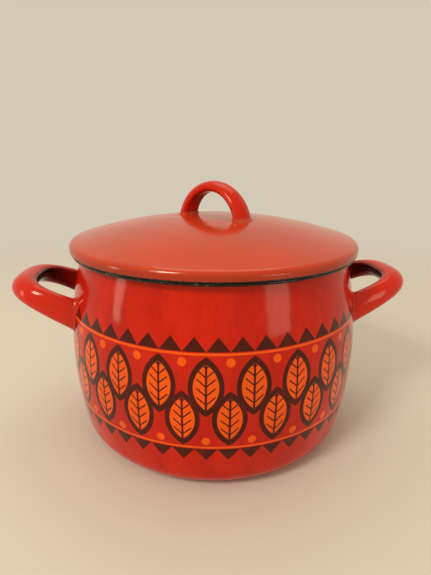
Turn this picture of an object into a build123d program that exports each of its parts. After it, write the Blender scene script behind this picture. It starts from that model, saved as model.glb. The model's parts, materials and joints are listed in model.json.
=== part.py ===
from build123d import *
import os
from dataclasses import dataclass
from math import asin, cos, degrees, radians, sin, sqrt

# Two-handled stew pot of pressed, enamelled steel with a lift-off domed lid.
# Millimetres, +Z up, origin on the table under the pot's axis, side handles along X.

# Pot body
belly_radius = 123.2        # widest outside radius
belly_height = 75.8         # height of the widest point
side_arc_radius = 283.0     # one arc makes the whole side
corner_radius = 20.4        # outside radius between side and base
pot_sheet = 1.6             # enamelled sheet
pot_height = 159.0          # flat top of the turned-out rim
rim_thickness = 2.7
rim_reach = 7.0             # how far the rim turns out from the wall
rim_bend = 2.4              # bend under the rim and over the mouth

# Lid
lid_overhang = 1.5          # past the edge of the rim
lid_height = 25.0           # from the seat to the top of the dome
lip_height = 3.8            # from the seat up to the widest point
shoulder_radius = 4.2       # rounding between lip and dome
lid_sheet = 1.5
hem_reach = 6.0             # width of the turned-in edge that rests on the rim
hem_bend = 1.2
ring_play = 1.2             # gap between locating ring and mouth
ring_sheet = 1.4
ring_depth = 7.0            # how far the ring drops below the rim

# Side handles: a loop around a finger hole, rising away from the wall
loop_root = 19.2            # the loop is drawn from this far inside the pot's widest radius
hole_depth = 25.6           # far end of the finger hole, past the pot's widest radius
hole_half_width = 34.9
hole_squareness = 3.1
handle_depth = 46.1         # far end of the handle, past the pot's widest radius
handle_half_width = 44.6
handle_squareness = 2.8
handle_drop = 52.7          # from the rim down to the loop's outermost line at its roots
root_above = 12.0           # edges of the finger hole's flat wall, above and below that line
root_below = 13.2
root_crown = 2.0            # how far the section swells above the upper edge
root_keel = 15.7            # lowest line of the section, below the outermost line
root_crest = 0.27           # where the section is highest and lowest, as a share of its depth
tip_lift = 22.0             # how much higher the outermost line lies at the tip
tip_above = 6.3             # the same sizes at the tip, where the wall thins to an edge
tip_below = -2.9
tip_crown = 3.6
tip_keel = 6.2
tip_crest = 0.44
tip_sag = 0.70              # where the section is lowest at the tip
thinning = 1.5              # how late along the loop the wall thins; one is evenly
handle_edge = 0.35          # roundness of the edges along the finger hole
handle_sheet = 1.5
handle_weld = 1.4           # size of the weld bead where handle meets wall
loop_stations = 6           # sections on each side of a loop's far end

# Lid handle: a hollow arch standing across the lid
arch_turn = -46.0           # seen from above, from the side handles' line
arch_rise = 28.6            # above the top of the dome
arch_root = 9.0             # the arch is drawn from this far below the top of the dome
arch_half_span = 27.0       # half the opening at that level
arch_squareness = 2.0
arch_depth_top = 8.6        # from the flat underside to the rounded top
arch_depth_foot = 9.5
arch_width_top = 16.6       # across
arch_width_foot = 20.1
arch_swell = 3.8            # from the edges of the flat underside out to the full width
arch_crest = 0.42
arch_edge = 0.55
arch_sheet = 1.3
arch_weld = 1.4

# Derived positions on the pot
side_centre_r = belly_radius - side_arc_radius
centre_distance = side_arc_radius - corner_radius
centre_drop = belly_height - corner_radius
corner_centre_r = side_centre_r + sqrt(centre_distance ** 2 - centre_drop ** 2)
tangent_angle = -degrees(asin(centre_drop / centre_distance))
rim_underside = pot_height - rim_thickness


def wall_radius(height, inset):
    """Radius of the pot's side at a height, measured on a surface set in from the outside."""
    return side_centre_r + sqrt((side_arc_radius - inset) ** 2 - (height - belly_height) ** 2)


def wall_angle(height, inset):
    """Angle of a point of the side about the side arc's centre."""
    return degrees(asin((height - belly_height) / (side_arc_radius - inset)))


mouth_radius = wall_radius(pot_height, pot_sheet)
neck_radius = wall_radius(rim_underside, 0)
rim_radius = neck_radius + rim_reach

# Derived positions on the lid
lid_radius = rim_radius + lid_overhang
lid_crown = pot_height + lid_height
dome_centre_r = lid_radius - shoulder_radius
lip_level = pot_height + lip_height
lip_inside = lid_radius - lid_sheet
hem_radius = lid_radius - hem_reach
hem_top = pot_height + lid_sheet
dome_rise = lid_crown - lip_level - shoulder_radius
dome_radius = shoulder_radius + (dome_centre_r ** 2 + dome_rise ** 2) / (2 * dome_rise)
dome_centre = lid_crown - dome_radius
dome_angle = degrees(asin(dome_centre_r / (dome_radius - shoulder_radius)))


def side_profile(inset, top):
    """Bottom, corner and side of the pot in one line, from the axis up to a height."""
    Line((0, inset), (corner_centre_r, inset))
    CenterArc((corner_centre_r, corner_radius), corner_radius - inset, -90, 90 + tangent_angle)
    CenterArc((side_centre_r, belly_height), side_arc_radius - inset, tangent_angle,
              wall_angle(top, inset) - tangent_angle)


def pot_blank(outset):
    """The pot as a full solid with its surface moved out, used to trim what is welded to its wall."""
    with BuildPart() as blank:
        with BuildSketch(Plane.XZ):
            with BuildLine():
                side_profile(-outset, rim_underside)
                Polyline((wall_radius(rim_underside, -outset), rim_underside), (0, rim_underside),
                         (0, -outset))
            make_face()
        revolve(axis=Axis.Z)
    return blank.part


# Pot body: pressed in one piece, the rim turned out flat with a round edge
with BuildPart() as pot_body:
    with BuildSketch(Plane.XZ) as pot_section:
        with BuildLine():
            side_profile(0, rim_underside)
            edge_round = rim_thickness / 2
            Line((neck_radius, rim_underside), (rim_radius - edge_round, rim_underside))
            CenterArc((rim_radius - edge_round, pot_height - edge_round), edge_round, -90, 180)
            Line((rim_radius - edge_round, pot_height), (mouth_radius, pot_height))
            side_profile(pot_sheet, pot_height)
            Line((0, pot_sheet), (0, 0))
        make_face()
        under_rim = pot_section.vertices().sort_by_distance((neck_radius, 0, rim_underside))[0]
        mouth_edge = pot_section.vertices().sort_by_distance((mouth_radius, 0, pot_height))[0]
        fillet([under_rim, mouth_edge], rim_bend)
    revolve(axis=Axis.Z)
pot_body.part.label = "pot_body"


def dome_line(inset):
    """The dome from the axis to the shoulder, on a surface set in from the outside."""
    CenterArc((0, dome_centre), dome_radius - inset, 90 - dome_angle, dome_angle)


def lid_blank(outset):
    """The lid as a full solid with its surface moved out, used to trim what is welded to its dome."""
    with BuildPart() as blank:
        with BuildSketch(Plane.XZ):
            with BuildLine():
                dome_line(-outset)
                CenterArc((dome_centre_r, lip_level), shoulder_radius + outset, 0, 90 - dome_angle)
                Polyline((lid_radius + outset, lip_level), (lid_radius + outset, pot_height), (0, pot_height),
                         (0, lid_crown + outset))
            make_face()
        revolve(axis=Axis.Z)
    return blank.part


# Lid shell: dome, rounded shoulder, short lip and an edge turned in to rest on the rim
with BuildPart() as lid_shell:
    with BuildSketch(Plane.XZ) as lid_section:
        with BuildLine():
            dome_line(0)
            CenterArc((dome_centre_r, lip_level), shoulder_radius, 0, 90 - dome_angle)
            Polyline((lid_radius, lip_level), (lid_radius, pot_height), (hem_radius, pot_height),
                     (hem_radius, hem_top), (lip_inside, hem_top), (lip_inside, lip_level))
            CenterArc((dome_centre_r, lip_level), shoulder_radius - lid_sheet, 0, 90 - dome_angle)
            dome_line(lid_sheet)
            Line((0, lid_crown - lid_sheet), (0, lid_crown))
        make_face()
        lip_corner = lid_section.vertices().sort_by_distance((lid_radius, 0, pot_height))[0]
        fillet(lip_corner, hem_bend)
    revolve(axis=Axis.Z)
lid_shell.part.label = "lid_shell"

# Locating ring: a strip welded under the dome that drops into the mouth
ring_outer = mouth_radius - ring_play
ring_inner = ring_outer - ring_sheet
ring_foot = pot_height - ring_depth


def dome_underside(radius):
    """Height of the dome's underside at a radius."""
    return dome_centre + sqrt((dome_radius - lid_sheet) ** 2 - radius ** 2)


with BuildPart() as lid_locating_ring:
    with BuildSketch(Plane.XZ):
        with BuildLine():
            Line((ring_outer, dome_underside(ring_outer)), (ring_outer, ring_foot))
            Line((ring_outer, ring_foot), (ring_inner, ring_foot))
            Line((ring_inner, ring_foot), (ring_inner, dome_underside(ring_inner)))
            RadiusArc((ring_inner, dome_underside(ring_inner)), (ring_outer, dome_underside(ring_outer)),
                      dome_radius - lid_sheet)
        make_face()
    revolve(axis=Axis.Z)
lid_locating_ring.part.label = "lid_locating_ring"


def loop_point(turn, reach, half_width, squareness):
    """Point of a loop outline about its centre; turn runs from -90 to 90, zero at the far end."""
    along = abs(cos(radians(turn))) / reach
    across = abs(sin(radians(turn))) / half_width
    distance = (along ** squareness + across ** squareness) ** (-1 / squareness)
    return distance * cos(radians(turn)), distance * sin(radians(turn))


def blend(start, end, share):
    """Value part of the way from start to end."""
    return start + (end - start) * share


@dataclass
class HandleSection:
    """Sizes of one section through a hollow handle, flat at zero and rounded outward."""
    sheet: float
    weld: float             # size of the bead round a welded end
    depth: float            # from the flat side to the nose
    top: float              # edges of the flat side
    bottom: float
    nose: float             # level of the outermost point
    crest: float            # where the section is highest, as a share of its depth
    sag: float              # where it is lowest
    crown: float            # swelling above the top edge
    belly: float            # swelling below the bottom edge
    edge: float             # roundness of the flat side's edges


quarter = 0.5523            # control length that bends a cubic curve into a quarter ellipse
turned_edge = 0.6           # how far a pressing's edges turn in, as a share of its sheet


def round_line(size, inset):
    """Rounded side of a section: over one edge to the crest, round the nose and back."""
    reach = size.depth - inset
    peak = size.top + size.crown - inset
    trough = size.bottom - size.belly + inset
    crest = size.crest * size.depth
    sag = size.sag * size.depth
    upper_edge = blend(size.top, peak, size.edge)
    lower_edge = blend(size.bottom, trough, size.edge)
    upper_bend = blend(size.nose, peak, quarter)
    lower_bend = blend(size.nose, trough, quarter)
    Bezier((inset, size.top), (inset, upper_edge), (blend(crest, inset, quarter), peak), (crest, peak))
    Bezier((crest, peak), (blend(crest, reach, quarter), peak), (reach, upper_bend), (reach, size.nose))
    Bezier((reach, size.nose), (reach, lower_bend), (blend(sag, reach, quarter), trough), (sag, trough))
    Bezier((sag, trough), (blend(sag, inset, quarter), trough), (inset, lower_edge), (inset, size.bottom))


def full_shape(size):
    """Outside of a hollow handle: flat on one side, rounded on the other."""
    round_line(size, 0)
    Line((0, size.bottom), (0, size.top))


def bead_shape(size):
    """Outside of the weld bead that runs round the section."""
    round_line(size, -size.weld)
    Line((-size.weld, size.bottom), (-size.weld, size.top))


def hollow_shape(size):
    """The room inside the pressing."""
    round_line(size, size.sheet)
    Line((size.sheet, size.bottom), (size.sheet, size.top))


def strip_shape(size):
    """The slot between the pressing's turned-in edges, from outside the flat side into the room."""
    low = size.bottom + turned_edge * size.sheet
    high = size.top - turned_edge * size.sheet
    outside = -size.sheet
    inside = 2 * size.sheet
    Polyline((outside, high), (inside, high), (inside, low), (outside, low), close=True)


up = Vector(0, 0, 1)


def side_handle_section(turn, shape):
    """Upright section of the side handle, flat toward the finger hole."""
    hole_length = loop_root + hole_depth
    loop_length = loop_root + handle_depth
    hole_x, hole_y = loop_point(turn, hole_length, hole_half_width, hole_squareness)
    outer_x, outer_y = loop_point(turn, loop_length, handle_half_width, handle_squareness)
    share = hole_x / hole_length
    nose = pot_height - handle_drop + tip_lift * share
    below = blend(root_below, tip_below, share ** thinning)
    size = HandleSection(
        sheet=handle_sheet,
        weld=handle_weld,
        depth=sqrt((outer_x - hole_x) ** 2 + (outer_y - hole_y) ** 2),
        top=nose + blend(root_above, tip_above, share),
        bottom=nose - below,
        nose=nose,
        crest=blend(root_crest, tip_crest, share),
        sag=blend(root_crest, tip_sag, share),
        crown=blend(root_crown, tip_crown, share ** 2),
        belly=blend(root_keel, tip_keel, share) - below,
        edge=handle_edge,
    )
    outward = Vector(cos(radians(turn)), sin(radians(turn)), 0)
    origin = (belly_radius - loop_root + hole_x, hole_y, 0)
    with BuildSketch(Plane(origin=origin, x_dir=outward, z_dir=outward.cross(up))) as section:
        with BuildLine():
            shape(size)
        make_face()
    return section.sketch


def arch_section(turn, shape):
    """Section of the lid handle, flat toward the opening under the arch."""
    outside_rise = arch_root + arch_rise
    inside_rise = outside_rise - arch_depth_top
    outer_half_span = arch_half_span + arch_depth_foot
    inner_z, inner_u = loop_point(turn, inside_rise, arch_half_span, arch_squareness)
    outer_z, outer_u = loop_point(turn, outside_rise, outer_half_span, arch_squareness)
    half_width = blend(arch_width_foot, arch_width_top, inner_z / inside_rise) / 2 - arch_swell
    size = HandleSection(
        sheet=arch_sheet,
        weld=arch_weld,
        depth=sqrt((outer_u - inner_u) ** 2 + (outer_z - inner_z) ** 2),
        top=half_width,
        bottom=-half_width,
        nose=0,
        crest=arch_crest,
        sag=arch_crest,
        crown=arch_swell,
        belly=arch_swell,
        edge=arch_edge,
    )
    along = Vector(cos(radians(arch_turn)), sin(radians(arch_turn)), 0)
    outward = along * sin(radians(turn)) + up * cos(radians(turn))
    origin = along * inner_u + up * (lid_crown - arch_root + inner_z)
    with BuildSketch(Plane(origin=origin, x_dir=outward, z_dir=outward.cross(up.cross(along)))) as section:
        with BuildLine():
            shape(size)
        make_face()
    return section.sketch


def loop_solid(section, shape):
    """Solid lofted through sections from one end of a loop round to the other."""
    sections = []
    for step in range(-loop_stations, loop_stations + 1):
        sections.append(section(90 * step / loop_stations, shape))
    with BuildPart() as solid:
        loft(sections)
    return solid.part


def pressing(form, hollow, strip, base):
    """Outer pressing of a hollow handle, trimmed to what it stands on."""
    with BuildPart() as piece:
        add(form)
        add(hollow, mode=Mode.SUBTRACT)
        add(strip, mode=Mode.SUBTRACT)
        add(base, mode=Mode.SUBTRACT)
    return piece


def closing_strip(form, hollow, strip, base):
    """Flat strip let in between the edges of a pressing."""
    with BuildPart() as piece:
        add(form)
        add(strip, mode=Mode.INTERSECT)
        add(hollow, mode=Mode.SUBTRACT)
        add(base, mode=Mode.SUBTRACT)
    return piece


def weld_beads(form, bead, base, raised_base):
    """Beads all round the two ends of a handle, as high as they are wide."""
    with BuildPart() as piece:
        add(bead)
        add(raised_base, mode=Mode.INTERSECT)
        add(base, mode=Mode.SUBTRACT)
        add(form, mode=Mode.SUBTRACT)
    return piece


def mirrored(piece):
    """The same piece for the other side of the pot."""
    with BuildPart() as other:
        add(mirror(piece.part, about=Plane.YZ, mode=Mode.PRIVATE))
    return other


# Side handles: an outer pressing closed toward the fingers by a flat band, welded to the wall
pot_outside = pot_blank(0)
handle_form = loop_solid(side_handle_section, full_shape)
handle_bead = loop_solid(side_handle_section, bead_shape)
handle_hollow = loop_solid(side_handle_section, hollow_shape)
handle_strip = loop_solid(side_handle_section, strip_shape)

right_handle_shell = pressing(handle_form, handle_hollow, handle_strip, pot_outside)
right_handle_shell.part.label = "right_handle_shell"
right_handle_band = closing_strip(handle_form, handle_hollow, handle_strip, pot_outside)
right_handle_band.part.label = "right_handle_band"
right_handle_welds = weld_beads(handle_form, handle_bead, pot_outside, pot_blank(handle_weld))
right_handle_welds.part.label = "right_handle_welds"
left_handle_shell = mirrored(right_handle_shell)
left_handle_shell.part.label = "left_handle_shell"
left_handle_band = mirrored(right_handle_band)
left_handle_band.part.label = "left_handle_band"
left_handle_welds = mirrored(right_handle_welds)
left_handle_welds.part.label = "left_handle_welds"

# Lid handle: the same build bent into an arch, welded to the dome
lid_outside = lid_blank(0)
arch_form = loop_solid(arch_section, full_shape)
arch_bead = loop_solid(arch_section, bead_shape)
arch_hollow = loop_solid(arch_section, hollow_shape)
arch_strip = loop_solid(arch_section, strip_shape)

lid_handle_shell = pressing(arch_form, arch_hollow, arch_strip, lid_outside)
lid_handle_shell.part.label = "lid_handle_shell"
lid_handle_strap = closing_strip(arch_form, arch_hollow, arch_strip, lid_outside)
lid_handle_strap.part.label = "lid_handle_strap"
lid_handle_welds = weld_beads(arch_form, arch_bead, lid_outside, lid_blank(arch_weld))
lid_handle_welds.part.label = "lid_handle_welds"

os.makedirs("parts", exist_ok=True)
export_step(pot_body.part, "parts/pot_body.step")
export_step(right_handle_shell.part, "parts/right_handle_shell.step")
export_step(right_handle_band.part, "parts/right_handle_band.step")
export_step(right_handle_welds.part, "parts/right_handle_welds.step")
export_step(left_handle_shell.part, "parts/left_handle_shell.step")
export_step(left_handle_band.part, "parts/left_handle_band.step")
export_step(left_handle_welds.part, "parts/left_handle_welds.step")
export_step(lid_shell.part, "parts/lid_shell.step")
export_step(lid_locating_ring.part, "parts/lid_locating_ring.step")
export_step(lid_handle_shell.part, "parts/lid_handle_shell.step")
export_step(lid_handle_strap.part, "parts/lid_handle_strap.step")
export_step(lid_handle_welds.part, "parts/lid_handle_welds.step")
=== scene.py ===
import json
from math import cos, hypot, pi, radians, sin, sqrt

import bpy
from mathutils import Matrix, Vector
from mathutils.bvhtree import BVHTree


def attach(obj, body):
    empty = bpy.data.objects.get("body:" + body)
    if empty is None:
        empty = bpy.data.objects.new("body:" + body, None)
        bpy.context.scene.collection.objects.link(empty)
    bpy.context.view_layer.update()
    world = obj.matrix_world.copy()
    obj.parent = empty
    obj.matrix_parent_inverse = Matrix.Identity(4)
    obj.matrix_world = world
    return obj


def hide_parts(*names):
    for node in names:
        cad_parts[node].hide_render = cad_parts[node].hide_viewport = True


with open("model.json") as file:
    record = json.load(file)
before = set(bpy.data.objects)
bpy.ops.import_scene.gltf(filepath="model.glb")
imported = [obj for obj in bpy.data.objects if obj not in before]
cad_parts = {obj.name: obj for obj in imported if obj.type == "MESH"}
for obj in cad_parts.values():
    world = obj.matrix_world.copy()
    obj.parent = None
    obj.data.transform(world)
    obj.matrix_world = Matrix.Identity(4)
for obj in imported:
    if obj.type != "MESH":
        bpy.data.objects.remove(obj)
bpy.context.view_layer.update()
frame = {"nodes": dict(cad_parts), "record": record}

# Enamel colours, linear
RED = (0.58, 0.013, 0.0015, 1)
RED_DEEP = (0.36, 0.004, 0.001, 1)
# Painted shade: dark red for shaded places on the handles, the finger hole's band and the inside of the
# lid handle's arch
RED_PAINTED_SHADE = (0.18, 0.003, 0.001, 1)
LID_RED = (0.54, 0.042, 0.008, 1)
# Painted shade: deeper red for the lid's lip
LID_PAINTED_SHADE = (0.33, 0.016, 0.002, 1)
MAROON = (0.060, 0.004, 0.001, 1)
ORANGE = (0.86, 0.095, 0.002, 1)
GROUND = (0.009, 0.007, 0.006, 1)
WORN = (0.08, 0.07, 0.06, 1)
CREAM = (0.70, 0.67, 0.60, 1)
# Warm tint on every reflection of the enamel: painted warmth of the room's light
WARM_REFLECTION_TINT = (1.0, 0.86, 0.70, 1)

# Room colours, linear
BACKDROP = (0.66, 0.585, 0.465, 1)
FLOOR_COLOUR = (0.64, 0.585, 0.50, 1)
FLOOR_CLOUD = (0.68, 0.625, 0.54, 1)

# Heights on the pot and lid, in millimetres
FOOT = 1.3
INSIDE_FLOOR = 60.0
RIM = 156.4
LID_EDGE = 160.7
HEM_TOP = LID_EDGE + 1.0
LIP_TOP = LID_EDGE + 4.0

# Painted frieze, in millimetres: borders and lines from edge to edge, rows by height and shift,
# motifs by half width and half height
FRIEZE_RADIUS = 122.0
LEAVES = 24
TEETH = 48
TOP_BORDER = (113.5, 123.5)
LOW_BORDER = (40.5, 30.5)
LINES = ((111.2, 112.8), (41.2, 42.8))
LEAF_ROWS = ((89.0, 0.0), (65.0, 0.5))
DOT_ROWS = ((106.5, 0.5), (47.5, 0.0))
LEAF_SIZE = (12.0, 21.5)
HEART_SIZE = (8.6, 16.5)
DOT_SIZE = (3.0, 3.05)
RIB_HALF_WIDTH = 0.75
VEIN_STEP = 6.5
VEIN_SHARE = 0.2
VEIN_SLOPE = 0.9
VEIN_REACH = 6.2

# Runs in the wall's enamel and scuffs on it all, in waves to the millimetre along x, y and z
BROAD_RUNS = (0.05, 0.05, 0.012)
FINE_RUNS = (0.28, 0.28, 0.02)
SCUFFS = (0.9, 0.04, 0.9)

# Floor disc: its radius in metres, and where its paint is whole and half gone, in millimetres
FLOOR_RADIUS = 1.05
FLOOR_SIDES = 64
FLOOR_CLEAR = 350.0
FLOOR_FADE = 680.0

# Outline of the finger hole, and where its band darkens to black, in millimetres
HOLE_ROOT = 104.0
HOLE_DEPTH = 44.8
HOLE_HALF_WIDTH = 34.9
HOLE_SQUARENESS = 3.1
BAND_DARK_END = 143.0

# Opening and foot of the lid handle, in millimetres, and its turn from the side handles' line
ARCH_ROOT = 175.0
ARCH_RISE = 29.0
ARCH_HALF_SPAN = 27.0
ARCH_FOOT = 184.8
ARCH_TURN = radians(-46.0)

# Radius that softens the look of an edge, and depth of the enamel's orange peel, in metres
SOFT_EDGE = 0.0008
PEEL_DEPTH = 0.0006

# Welds, in metres: size of the plain bead, reach and sink of the hollow fillet, grid of its mesh,
# and rounds of smoothing
BEAD = 0.0014
FILLET = 0.0034
SINK = 0.00025
WELD_GRID = 0.00022
WELD_MELT = 20


class Graph:
    """Short calls for building one material's nodes, with the place in millimetres."""

    def __init__(self, name):
        self.material = bpy.data.materials.new(name)
        self.material.use_nodes = True
        self.tree = self.material.node_tree
        self.tree.nodes.clear()
        place = self.add("ShaderNodeTexCoord").outputs["Object"]
        scaled = self.add("ShaderNodeVectorMath", {0: place, "Scale": 1000.0}, operation="SCALE")
        self.mm = scaled.outputs[0]
        axes = self.add("ShaderNodeSeparateXYZ", {0: self.mm}).outputs
        self.x, self.y, self.z = axes[0], axes[1], axes[2]

    def put(self, socket, value):
        if isinstance(value, bpy.types.NodeSocket):
            self.tree.links.new(value, socket)
        else:
            socket.default_value = value

    def add(self, kind, inputs=None, **settings):
        node = self.tree.nodes.new(kind)
        for name, value in settings.items():
            setattr(node, name, value)
        for key, value in (inputs or {}).items():
            self.put(node.inputs[key], value)
        return node

    def math(self, operation, *values):
        return self.add("ShaderNodeMath", dict(enumerate(values)), operation=operation).outputs[0]

    def times(self, *values):
        result = values[0]
        for value in values[1:]:
            result = self.math("MULTIPLY", result, value)
        return result

    def either(self, *masks):
        result = masks[0]
        for mask in masks[1:]:
            result = self.math("MAXIMUM", result, mask)
        return result

    def above(self, value, edge, soft):
        """One where value is over edge, with a soft border."""
        ends = {0: value, 1: edge - soft, 2: edge + soft}
        return self.add("ShaderNodeMapRange", ends, interpolation_type="SMOOTHSTEP").outputs[0]

    def below(self, value, edge, soft):
        return self.math("SUBTRACT", 1.0, self.above(value, edge, soft))

    def mix(self, share, first, second):
        return self.add("ShaderNodeMix", {0: share, 6: first, 7: second}, data_type="RGBA").outputs[2]

    def vector(self, operation, first, second):
        return self.add("ShaderNodeVectorMath", {0: first, 1: second}, operation=operation)

    def noise(self, scale, detail=3.0, rough=0.5, stretch=None):
        """Noise with about scale waves to the millimetre, drawn out along an axis by stretch."""
        place = self.vector("MULTIPLY", self.mm, stretch).outputs[0] if stretch else self.mm
        inputs = {"Vector": place, "Scale": scale, "Detail": detail, "Roughness": rough}
        return self.add("ShaderNodeTexNoise", inputs).outputs["Fac"]

    def normal(self):
        return self.add("ShaderNodeNewGeometry").outputs["Normal"]

    def upward(self):
        return self.add("ShaderNodeSeparateXYZ", {0: self.normal()}).outputs[2]

    def outward(self):
        """How far a face looks away from the pot's axis."""
        flat = self.vector("MULTIPLY", self.mm, (1, 1, 0)).outputs[0]
        away = self.add("ShaderNodeVectorMath", {0: flat}, operation="NORMALIZE").outputs[0]
        return self.vector("DOT_PRODUCT", self.normal(), away).outputs["Value"]

    def column(self, count, shift):
        """Distance across one of count motifs round the pot, in millimetres from its middle."""
        turn = self.times(self.math("ARCTAN2", self.y, self.x), count / (2 * pi))
        share = self.math("FRACT", self.math("ADD", turn, shift))
        return self.times(self.math("SUBTRACT", share, 0.5), 2 * pi * FRIEZE_RADIUS / count)

    def almond(self, across, height, half_width, half_height):
        """Pointed oval between two arcs."""
        offset = (half_height ** 2 - half_width ** 2) / (2 * half_width)
        side = self.math("ADD", self.math("ABSOLUTE", across), offset)
        square = self.math("ADD", self.times(side, side), self.times(height, height))
        return self.below(self.math("SQRT", square), offset + half_width, 0.18)

    def teeth(self, shift, foot, point):
        """Row of triangles with their feet at one height and their points at another."""
        half_width = pi * FRIEZE_RADIUS / TEETH
        across = self.math("ABSOLUTE", self.column(TEETH, shift))
        rise = self.math("DIVIDE", self.math("SUBTRACT", self.z, foot), point - foot)
        slope = self.math("ADD", rise, self.math("DIVIDE", across, half_width))
        return self.times(self.below(slope, 1.0, 0.03), self.above(rise, 0.0, 0.015))

    def stripe(self, low, high):
        return self.times(self.above(self.z, low, 0.15), self.below(self.z, high, 0.15))

    def enamel(self, colour, rough=0.10, shine=0.26, soft_edge=None):
        """Glossy glass coat: uneven thickness, orange peel, pinholes and fine wear."""
        thick = self.times(self.above(self.noise(0.018, 4.0), 0.55, 0.2), 0.14)
        pinholes = self.below(self.noise(0.55, 1.0), 0.235, 0.012)
        tint = self.mix(self.either(thick, self.times(pinholes, 0.75)), colour, GROUND)
        scuffs = self.above(self.noise(1.0, 2.0, 0.5, SCUFFS), 0.66, 0.03)
        gloss = self.math("ADD", self.times(self.noise(0.05, 6.0, 0.65), 0.09), rough - 0.045)
        gloss = self.math("ADD", gloss, self.times(scuffs, 0.10))
        peel = self.math("ADD", self.noise(0.06, 2.0), self.times(self.noise(0.45, 2.0), 0.18))
        peel = self.math("SUBTRACT", peel, self.times(pinholes, 0.5))
        bump = self.add("ShaderNodeBump", {"Height": peel, "Distance": PEEL_DEPTH, "Strength": 0.3})
        if soft_edge:
            rounded = self.add("ShaderNodeBevel", {"Radius": soft_edge}, samples=4)
            self.put(bump.inputs["Normal"], rounded.outputs[0])
        return self.finish({
            "Base Color": tint, "Roughness": gloss, "IOR": 1.5, "Specular IOR Level": shine,
            "Specular Tint": WARM_REFLECTION_TINT, "Normal": bump.outputs[0]})

    def finish(self, inputs):
        shader = self.add("ShaderNodeBsdfPrincipled", inputs)
        output = self.add("ShaderNodeOutputMaterial")
        self.tree.links.new(shader.outputs[0], output.inputs[0])
        return self.material


def frieze(graph, ground):
    """Leaves in two staggered rows between toothed borders."""
    colour = ground
    for centre, shift in LEAF_ROWS:
        across = graph.column(LEAVES, shift)
        side = graph.math("ABSOLUTE", across)
        height = graph.math("SUBTRACT", graph.z, centre)
        leaf = graph.almond(across, height, *LEAF_SIZE)
        heart = graph.almond(across, height, *HEART_SIZE)
        rib = graph.below(side, RIB_HALF_WIDTH, 0.12)
        slant = graph.math("SUBTRACT", height, graph.times(side, VEIN_SLOPE))
        beat = graph.math("FRACT", graph.math("DIVIDE", slant, VEIN_STEP))
        veins = graph.times(graph.below(beat, VEIN_SHARE, 0.02), graph.below(side, VEIN_REACH, 0.3))
        colour = graph.mix(leaf, colour, MAROON)
        colour = graph.mix(heart, colour, ORANGE)
        colour = graph.mix(graph.times(heart, graph.either(rib, veins)), colour, MAROON)
    teeth = graph.either(graph.teeth(0.0, *TOP_BORDER), graph.teeth(0.5, *LOW_BORDER))
    colour = graph.mix(teeth, colour, MAROON)
    marks = graph.either(*[graph.stripe(low, high) for low, high in LINES])
    for centre, shift in DOT_ROWS:
        height = graph.math("SUBTRACT", graph.z, centre)
        dots = graph.almond(graph.column(LEAVES, shift), height, *DOT_SIZE)
        marks = graph.either(marks, dots)
    return graph.mix(marks, colour, ORANGE)


def bare_edge(graph, colour, mask):
    """Black ground coat where the colour stops short, chipped here and there."""
    chips = graph.times(mask, graph.above(graph.noise(0.3, 4.0), 0.60, 0.08))
    return graph.mix(chips, graph.mix(mask, colour, GROUND), WORN)


def pot_enamel():
    """Red with runs and the frieze, cream inside and bare along the rim and foot."""
    graph = Graph("pot_enamel")
    broad = graph.above(graph.noise(1.0, 3.0, 0.5, BROAD_RUNS), 0.52, 0.14)
    fine = graph.above(graph.noise(1.0, 3.0, 0.6, FINE_RUNS), 0.55, 0.12)
    runs = graph.math("ADD", graph.times(broad, 0.35), graph.times(fine, 0.20))
    colour = frieze(graph, graph.mix(runs, RED, RED_DEEP))
    fading = graph.times(graph.above(graph.noise(0.09, 5.0, 0.7), 0.62, 0.12), 0.18)
    colour = graph.mix(fading, colour, RED_DEEP)
    floor = graph.times(graph.above(graph.upward(), 0.3, 0.05), graph.below(graph.z, INSIDE_FLOOR, 1.0))
    inside = graph.either(graph.below(graph.outward(), -0.1, 0.05), floor)
    colour = graph.mix(inside, colour, CREAM)
    uneven = graph.math("ADD", graph.z, graph.times(graph.noise(0.35, 3.0), 1.2))
    bare = graph.either(graph.above(uneven, RIM, 0.25), graph.below(uneven, FOOT, 0.3))
    return graph.enamel(bare_edge(graph, colour, bare))


def lid_enamel():
    """Red, with painted shade along the lip, cream underneath and bare along the edge."""
    graph = Graph("lid_enamel")
    under = graph.times(graph.below(graph.upward(), -0.25, 0.05), graph.above(graph.z, HEM_TOP, 0.2))
    # Painted shade: the lid's outward-facing lip is mixed towards a deeper red
    lip = graph.times(graph.below(graph.z, LIP_TOP, 3.0), graph.above(graph.outward(), 0.3, 0.3))
    colour = graph.mix(under, graph.mix(graph.times(lip, 0.8), LID_RED, LID_PAINTED_SHADE), CREAM)
    uneven = graph.math("ADD", graph.z, graph.noise(0.35, 3.0))
    bare = graph.below(uneven, LID_EDGE, 0.25)
    return graph.enamel(bare_edge(graph, colour, bare), rough=0.15, shine=0.5)


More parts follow.
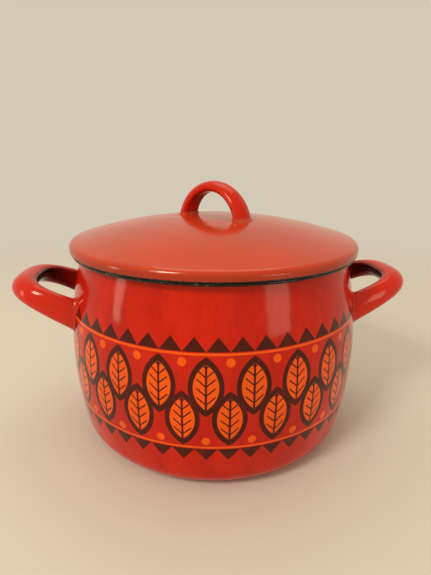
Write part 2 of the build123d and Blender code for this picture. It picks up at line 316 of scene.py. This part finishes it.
def handle_enamel():
    """Red, darkening to black along the far end of the finger hole, with painted shade on faces that look
    down near the hole and round its rim.
    """
    graph = Graph("handle_enamel")
    out = graph.math("SUBTRACT", graph.math("ABSOLUTE", graph.x), HOLE_ROOT)
    along = graph.math("DIVIDE", out, HOLE_DEPTH)
    across = graph.math("DIVIDE", graph.math("ABSOLUTE", graph.y), HOLE_HALF_WIDTH)
    reach = graph.math("POWER", graph.math("MAXIMUM", along, 0.0), HOLE_SQUARENESS)
    loop = graph.math("ADD", reach, graph.math("POWER", across, HOLE_SQUARENESS))
    # Darkens towards black near the hole's far end, by an amount that varies with noise
    dark_far_end = graph.times(graph.below(loop, 1.12, 0.2), graph.above(along, 0.62, 0.2))
    dark_far_end = graph.times(dark_far_end, graph.math("ADD", 0.5, graph.times(graph.noise(0.2), 0.5)))
    # Painted shade: faces that look down near the hole, and the hole's rounded rim, turn dark red; the
    # downward faces also shine less
    under = graph.times(graph.below(graph.upward(), -0.05, 0.25), graph.below(loop, 1.6, 0.35))
    colour = graph.mix(graph.either(under, graph.below(loop, 1.03, 0.10)), RED, RED_PAINTED_SHADE)
    shine = graph.math("SUBTRACT", 0.38, graph.times(under, 0.34))
    return graph.enamel(graph.mix(dark_far_end, colour, GROUND), shine=shine, soft_edge=SOFT_EDGE)


def band_enamel():
    """Painted shade: dark red over the whole band inside the finger hole, darkening to black at its far
    end.
    """
    graph = Graph("band_enamel")
    along = graph.math("ADD", graph.math("ABSOLUTE", graph.x), graph.times(graph.noise(0.12, 4.0), 6.0))
    return graph.enamel(graph.mix(graph.above(along, BAND_DARK_END, 9.0), RED_PAINTED_SHADE, GROUND), shine=0.1)


def lid_handle_enamel():
    """Red, with painted shade on the inside of the arch, and of the lid's colour at the feet."""
    graph = Graph("lid_handle_enamel")
    direction = (cos(ARCH_TURN), sin(ARCH_TURN), 0)
    across = graph.vector("DOT_PRODUCT", graph.mm, direction).outputs["Value"]
    along = graph.math("DIVIDE", across, ARCH_HALF_SPAN)
    rise = graph.math("DIVIDE", graph.math("SUBTRACT", graph.z, ARCH_ROOT), ARCH_RISE)
    arch = graph.math("ADD", graph.times(along, along), graph.times(rise, rise))
    # Painted shade on the inside of the arch
    inside = graph.times(graph.below(arch, 1.05, 0.09), graph.above(rise, 0.60, 0.22))
    foot = graph.below(graph.z, ARCH_FOOT, 1.6)
    colour = graph.mix(foot, graph.mix(inside, RED, RED_PAINTED_SHADE), LID_RED)
    return graph.enamel(colour, shine=0.3, soft_edge=SOFT_EDGE)


def ring_enamel():
    """Black ground coat, worn where the ring rubs."""
    graph = Graph("ring_enamel")
    worn = graph.above(graph.noise(0.4, 5.0), 0.62, 0.06)
    return graph.enamel(graph.mix(worn, GROUND, WORN), rough=0.25)


def floor_paint():
    """Pale paint that fades out into the backdrop away from the pot."""
    graph = Graph("floor_paint")
    shade = graph.mix(graph.noise(0.004, 3.0), FLOOR_COLOUR, FLOOR_CLOUD)
    radius = graph.vector("LENGTH", graph.mm, (0, 0, 0)).outputs["Value"]
    cover = graph.below(radius, FLOOR_FADE, FLOOR_FADE - FLOOR_CLEAR)
    return graph.finish({"Base Color": shade, "Roughness": 0.7, "Specular IOR Level": 0.2, "Alpha": cover})


materials = {make.__name__: make() for make in (
    pot_enamel, lid_enamel, handle_enamel, band_enamel, lid_handle_enamel, ring_enamel)}
body_of = {node: body for body, nodes in frame["record"]["behaviour"]["bodies"].items() for node in nodes}


def link(name, data):
    item = bpy.data.objects.new(name, data)
    bpy.context.collection.objects.link(item)
    return item


def bake(item):
    """Makes the result of an object's modifiers its own mesh."""
    shaped = item.evaluated_get(bpy.context.evaluated_depsgraph_get())
    item.data = bpy.data.meshes.new_from_object(shaped)
    item.modifiers.clear()


def surface(nodes):
    """Search tree over the solids of some nodes."""
    points, faces = [], []
    for node in nodes:
        mesh = frame["nodes"][node].data
        start = len(points)
        faces += [[start + i for i in face.vertices] for face in mesh.polygons]
        points += [vertex.co for vertex in mesh.vertices]
    return BVHTree.FromPolygons(points, faces)


def over(tree, place):
    """The nearest surface's normal, and how high a place lies over it."""
    spot, normal, _, _ = tree.find_nearest(place)
    return normal, (place - spot).dot(normal)


def hollow(first, second):
    """From a place in a square section to one in a hollow fillet's, both one unit wide."""
    far = hypot(first, second)
    if far == 0:
        return 0, 0
    lean, rise = first / far, second / far
    size = max(lean, rise) * (lean + rise - sqrt(2 * lean * rise))
    return first * size, second * size


def melted_welds(node):
    """Welds that run smooth into the handle and what carries it, in place of the plain beads."""
    welds = link(node + "_melted", frame["nodes"][node].data.copy())
    grid = welds.modifiers.new("grid", "REMESH")
    grid.mode = "VOXEL"
    grid.voxel_size = WELD_GRID
    bake(welds)
    family = node.removesuffix("welds")
    handle = surface([name for name in body_of if name.startswith(family) and name != node])
    base = surface(["pot_body" if body_of[node] == "pot" else "lid_shell"])
    for vertex in welds.data.vertices:
        up_base, base_height = over(base, vertex.co)
        up_handle, handle_height = over(handle, vertex.co)
        section = [min(max(height / BEAD, 0), 1) for height in (base_height, handle_height)]
        new_base, new_handle = hollow(*section)
        vertex.co += up_base * (new_base * FILLET - SINK - base_height)
        vertex.co += up_handle * (new_handle * FILLET - SINK - handle_height)
    melt = welds.modifiers.new("melt", "SMOOTH")
    melt.iterations = WELD_MELT
    bake(welds)
    welds.data.shade_smooth()
    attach(welds, body_of[node])
    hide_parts(node)
    return welds


for part in frame["record"]["subparts"]:
    for slot in frame["nodes"][part["node"]].material_slots:
        slot.material = materials[part["material_slot"]]
    if part["node"].endswith("_welds"):
        melted_welds(part["node"])

# Camera at the photograph's viewpoint, for a frame of 431 by 575: angles, place in metres on its
# own upright axes, lens and sensor in millimetres
TURN = radians(5.67)
PITCH = radians(17.44)
ROLL = radians(0.54)
EYE = (0.00165, -0.3693, 0.2351)
LENS = 26.92
SENSOR = 36.0


def turned(x, y, z):
    """From the camera's upright axes into the pot's."""
    return Vector((x * cos(TURN) + y * sin(TURN), y * cos(TURN) - x * sin(TURN), z))


right = turned(1, 0, 0)
up = turned(0, sin(PITCH), cos(PITCH))
back = turned(0, -cos(PITCH), sin(PITCH))
across_axis = right * cos(ROLL) + up * sin(ROLL)
up_axis = up * cos(ROLL) - right * sin(ROLL)
camera = link("camera", bpy.data.cameras.new("camera"))
camera.data.lens = LENS
camera.data.sensor_width = SENSOR
camera.data.clip_start = 0.01
placement = Matrix((across_axis, up_axis, back)).transposed().to_4x4()
placement.translation = turned(*EYE)
camera.matrix_world = placement
bpy.context.scene.camera = camera

# Pale floor
turns = [2 * pi * i / FLOOR_SIDES for i in range(FLOOR_SIDES)]
corners = [(FLOOR_RADIUS * cos(turn), FLOOR_RADIUS * sin(turn), 0) for turn in turns]
floor_mesh = bpy.data.meshes.new("floor")
floor_mesh.from_pydata(corners, [], [range(FLOOR_SIDES)])
floor_mesh.materials.append(floor_paint())
link("floor", floor_mesh)

# Soft room light, and lamps by name, place, width and height in metres, power in watts and colour
AIM = Vector((0, 0, 0.1))
LAMPS = (
    ("key", (-0.9, -0.9, 1.2), 0.4, 0.4, 13, (1.0, 0.94, 0.84)),
    ("window_right", (0.73, -0.82, 0.2), 0.35, 0.4, 1.3, (1.0, 0.93, 0.82)),
    ("window_left", (-1.06, -0.22, 0.2), 0.14, 0.4, 0.7, (1.0, 0.94, 0.85)),
    ("top", (0.1, 0.5, 1.6), 1.2, 1.0, 6, (1.0, 0.94, 0.85)))
world = bpy.data.worlds.new("studio")
bpy.context.scene.world = world
world.use_nodes = True
world.node_tree.nodes["Background"].inputs[0].default_value = BACKDROP
world.node_tree.nodes["Background"].inputs[1].default_value = 1.0


def softbox(name, place, width, height, power, colour):
    light = bpy.data.lights.new(name, "AREA")
    light.shape = "RECTANGLE"
    light.size = width
    light.size_y = height
    light.energy = power
    light.color = colour
    lamp = link(name, light)
    lamp.visible_camera = False
    lamp.location = place
    lamp.rotation_euler = (AIM - Vector(place)).to_track_quat("-Z", "Y").to_euler()


for lamp_values in LAMPS:
    softbox(*lamp_values)

bpy.context.scene.view_settings.view_transform = "Standard"
